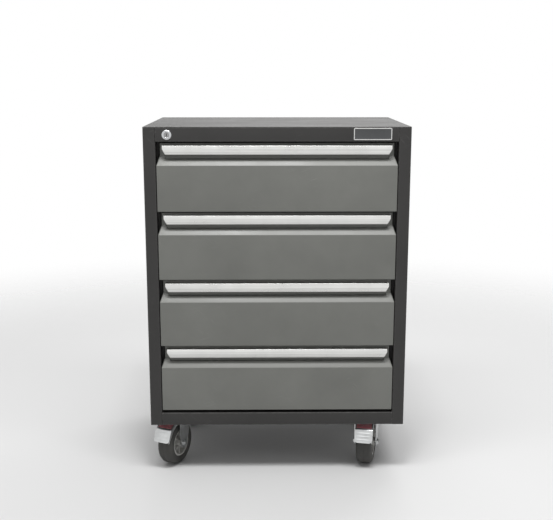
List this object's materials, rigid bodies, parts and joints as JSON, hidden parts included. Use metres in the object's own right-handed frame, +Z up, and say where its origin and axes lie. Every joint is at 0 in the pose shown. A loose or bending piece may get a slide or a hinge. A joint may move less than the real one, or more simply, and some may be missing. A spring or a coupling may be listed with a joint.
{
  "type": "rolling tool chest",
  "caption": "Steel tool chest with equal drawers on telescopic slides, full-width metal bar handles, a key lock and casters, the front pair braked.",
  "frame": {"origin": "on the floor, under the middle of the chest's width and depth", "axes": "+Z up, +X to the right as seen from the front, +Y from the drawer fronts to the back"},
  "size_m": [0.696, 0.5068, 0.95],
  "materials": {
    "frame_paint": "fine-textured charcoal powder coat",
    "front_paint": "satin mid-grey powder coat",
    "box_paint": "satin charcoal paint",
    "handle_aluminium": "brushed and anodised",
    "liner_foam": "ribbed soft liner",
    "slide_zinc": "bright zinc",
    "lock_chrome": "polished",
    "badge_metal": "plain plate with a dark field",
    "zinc_plate": "zinc plated",
    "tyre_rubber": "matt rubber",
    "brake_red": "moulded red pad",
    "core_plastic": "moulded light grey"
  },
  "bodies": {
    "root": {"left_side_panel": "frame_paint", "right_side_panel": "frame_paint", "back_panel": "frame_paint", "top_panel": "frame_paint", "bottom_pan": "frame_paint", "top_rail": "frame_paint", "bottom_rail": "frame_paint", "slide_uprights": "frame_paint", "slide_outer_members": "slide_zinc", "badge_plate": "badge_metal", "lock_housing": "lock_chrome", "lock_guides": "zinc_plate", "panel_screws": "zinc_plate", "caster_bolts": "zinc_plate", "front_caster_plates": "zinc_plate", "rear_caster_forks": "zinc_plate", "rear_caster_axles": "zinc_plate"},
    "lock": {"lock_plug": "lock_chrome", "lock_rod": "zinc_plate"},
    "lock_bar": {"lock_bar": "zinc_plate"},
    "drawer_1": {"drawer_1_front": "front_paint", "drawer_1_handle": "handle_aluminium", "drawer_1_box": "box_paint", "drawer_1_liner": "liner_foam", "drawer_1_slide_inner": "slide_zinc"},
    "drawer_1_slides": {"drawer_1_slide_middle": "slide_zinc"},
    "drawer_2": {"drawer_2_front": "front_paint", "drawer_2_handle": "handle_aluminium", "drawer_2_box": "box_paint", "drawer_2_liner": "liner_foam", "drawer_2_slide_inner": "slide_zinc"},
    "drawer_2_slides": {"drawer_2_slide_middle": "slide_zinc"},
    "drawer_3": {"drawer_3_front": "front_paint", "drawer_3_handle": "handle_aluminium", "drawer_3_box": "box_paint", "drawer_3_liner": "liner_foam", "drawer_3_slide_inner": "slide_zinc"},
    "drawer_3_slides": {"drawer_3_slide_middle": "slide_zinc"},
    "drawer_4": {"drawer_4_front": "front_paint", "drawer_4_handle": "handle_aluminium", "drawer_4_box": "box_paint", "drawer_4_liner": "liner_foam", "drawer_4_slide_inner": "slide_zinc"},
    "drawer_4_slides": {"drawer_4_slide_middle": "slide_zinc"},
    "front_left_caster": {"front_left_fork": "zinc_plate", "front_left_axle": "zinc_plate"},
    "front_left_wheel": {"front_left_wheel_core": "core_plastic", "front_left_tyre": "tyre_rubber"},
    "front_left_brake": {"front_left_brake_pedal": "zinc_plate", "front_left_brake_pad": "brake_red"},
    "front_right_caster": {"front_right_fork": "zinc_plate", "front_right_axle": "zinc_plate"},
    "front_right_wheel": {"front_right_wheel_core": "core_plastic", "front_right_tyre": "tyre_rubber"},
    "front_right_brake": {"front_right_brake_pedal": "zinc_plate", "front_right_brake_pad": "brake_red"},
    "rear_left_wheel": {"rear_left_wheel_core": "core_plastic", "rear_left_tyre": "tyre_rubber"},
    "rear_right_wheel": {"rear_right_wheel_core": "core_plastic", "rear_right_tyre": "tyre_rubber"}
  },
  "joints": [
    {"name": "drawer_1_slide", "type": "slide", "parent": "root", "child": "drawer_1", "axis": [0, -1, 0], "range_m": [0, 0.43]},
    {"name": "drawer_1_middle_slide", "type": "slide", "parent": "root", "child": "drawer_1_slides", "axis": [0, -1, 0], "range_m": [0, 0.215]},
    {"name": "drawer_2_slide", "type": "slide", "parent": "root", "child": "drawer_2", "axis": [0, -1, 0], "range_m": [0, 0.43]},
    {"name": "drawer_2_middle_slide", "type": "slide", "parent": "root", "child": "drawer_2_slides", "axis": [0, -1, 0], "range_m": [0, 0.215]},
    {"name": "drawer_3_slide", "type": "slide", "parent": "root", "child": "drawer_3", "axis": [0, -1, 0], "range_m": [0, 0.43]},
    {"name": "drawer_3_middle_slide", "type": "slide", "parent": "root", "child": "drawer_3_slides", "axis": [0, -1, 0], "range_m": [0, 0.215]},
    {"name": "drawer_4_slide", "type": "slide", "parent": "root", "child": "drawer_4", "axis": [0, -1, 0], "range_m": [0, 0.43]},
    {"name": "drawer_4_middle_slide", "type": "slide", "parent": "root", "child": "drawer_4_slides", "axis": [0, -1, 0], "range_m": [0, 0.215]},
    {"name": "lock_turn", "type": "hinge", "parent": "root", "child": "lock", "pos_m": [-0.286, -0.24415, 0.9295], "axis": [0, 1, 0], "range_deg": [0, 90]},
    {"name": "lock_bar_lift", "type": "slide", "parent": "root", "child": "lock_bar", "axis": [0, 0, 1], "range_m": [0, 0.014]},
    {"name": "front_left_swivel", "type": "hinge", "parent": "root", "child": "front_left_caster", "pos_m": [-0.266, -0.12415, 0.1435], "axis": [0, 0, 1], "continuous": true},
    {"name": "front_left_wheel_spin", "type": "hinge", "parent": "front_left_caster", "child": "front_left_wheel", "pos_m": [-0.29011, -0.17358, 0.0625], "axis": [0.8988, -0.4384, 0], "continuous": true},
    {"name": "front_left_brake_press", "type": "hinge", "parent": "front_left_caster", "child": "front_left_brake", "pos_m": [-0.29362, -0.18077, 0.1345], "axis": [0.8988, -0.4384, 0], "range_deg": [0, 7]},
    {"name": "front_right_swivel", "type": "hinge", "parent": "root", "child": "front_right_caster", "pos_m": [0.266, -0.12415, 0.1435], "axis": [0, 0, 1], "continuous": true},
    {"name": "front_right_wheel_spin", "type": "hinge", "parent": "front_right_caster", "child": "front_right_wheel", "pos_m": [0.25363, -0.17774, 0.0625], "axis": [0.9744, -0.225, 0], "continuous": true},
    {"name": "front_right_brake_press", "type": "hinge", "parent": "front_right_caster", "child": "front_right_brake", "pos_m": [0.25183, -0.18553, 0.1345], "axis": [0.9744, -0.225, 0], "range_deg": [0, 7]},
    {"name": "rear_left_wheel_spin", "type": "hinge", "parent": "root", "child": "rear_left_wheel", "pos_m": [-0.266, 0.13185, 0.0625], "axis": [1, 0, 0], "continuous": true},
    {"name": "rear_right_wheel_spin", "type": "hinge", "parent": "root", "child": "rear_right_wheel", "pos_m": [0.266, 0.13185, 0.0625], "axis": [1, 0, 0], "continuous": true}
  ],
  "couplings": [
    {"joint": "drawer_1_middle_slide", "follows": "drawer_1_slide", "ratio": 0.5},
    {"joint": "drawer_2_middle_slide", "follows": "drawer_2_slide", "ratio": 0.5},
    {"joint": "drawer_3_middle_slide", "follows": "drawer_3_slide", "ratio": 0.5},
    {"joint": "drawer_4_middle_slide", "follows": "drawer_4_slide", "ratio": 0.5},
    {"joint": "lock_turn", "follows": "lock_bar_lift", "rad_per_m": 112.19}
  ]
}
